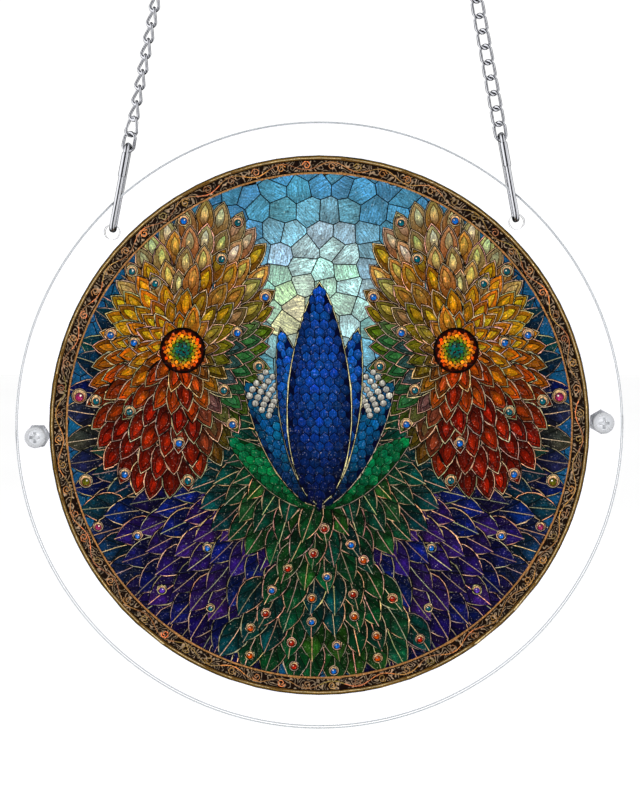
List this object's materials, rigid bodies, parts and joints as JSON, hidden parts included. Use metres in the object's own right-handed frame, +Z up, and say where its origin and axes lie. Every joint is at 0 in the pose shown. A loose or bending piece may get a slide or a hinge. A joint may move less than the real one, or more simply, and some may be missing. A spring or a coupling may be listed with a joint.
{
  "type": "hanging suncatcher",
  "caption": "Round hanging suncatcher: a printed jigsaw disc clamped between two clear plates by side screws, hung by oblong clips on two strands of curb chain that meet on a ring.",
  "frame": {"origin": "where a hook bears, at the inner top of the hanging ring", "axes": "+Z up, along the line the object hangs in; -Y out of the picture's front; +X to the right, seen from the front"},
  "size_m": [0.2, 0.0136, 0.5216],
  "materials": {
    "clear_acrylic": "clear, see-through, polished",
    "printed_acrylic": "glossy print in many colours, like leaded glass, cut into jigsaw pieces",
    "nylon": "translucent white, satin",
    "polished_steel": "bright polished"
  },
  "bodies": {
    "root": {"front_plate": "clear_acrylic", "puzzle": "printed_acrylic", "back_plate": "clear_acrylic", "hanging_ring": "polished_steel", "left_screw": "nylon", "left_nut": "nylon", "right_screw": "nylon", "right_nut": "nylon", "left_clip": "polished_steel", "left_chain": "polished_steel", "right_clip": "polished_steel", "right_chain": "polished_steel"}
  },
  "joints": []
}
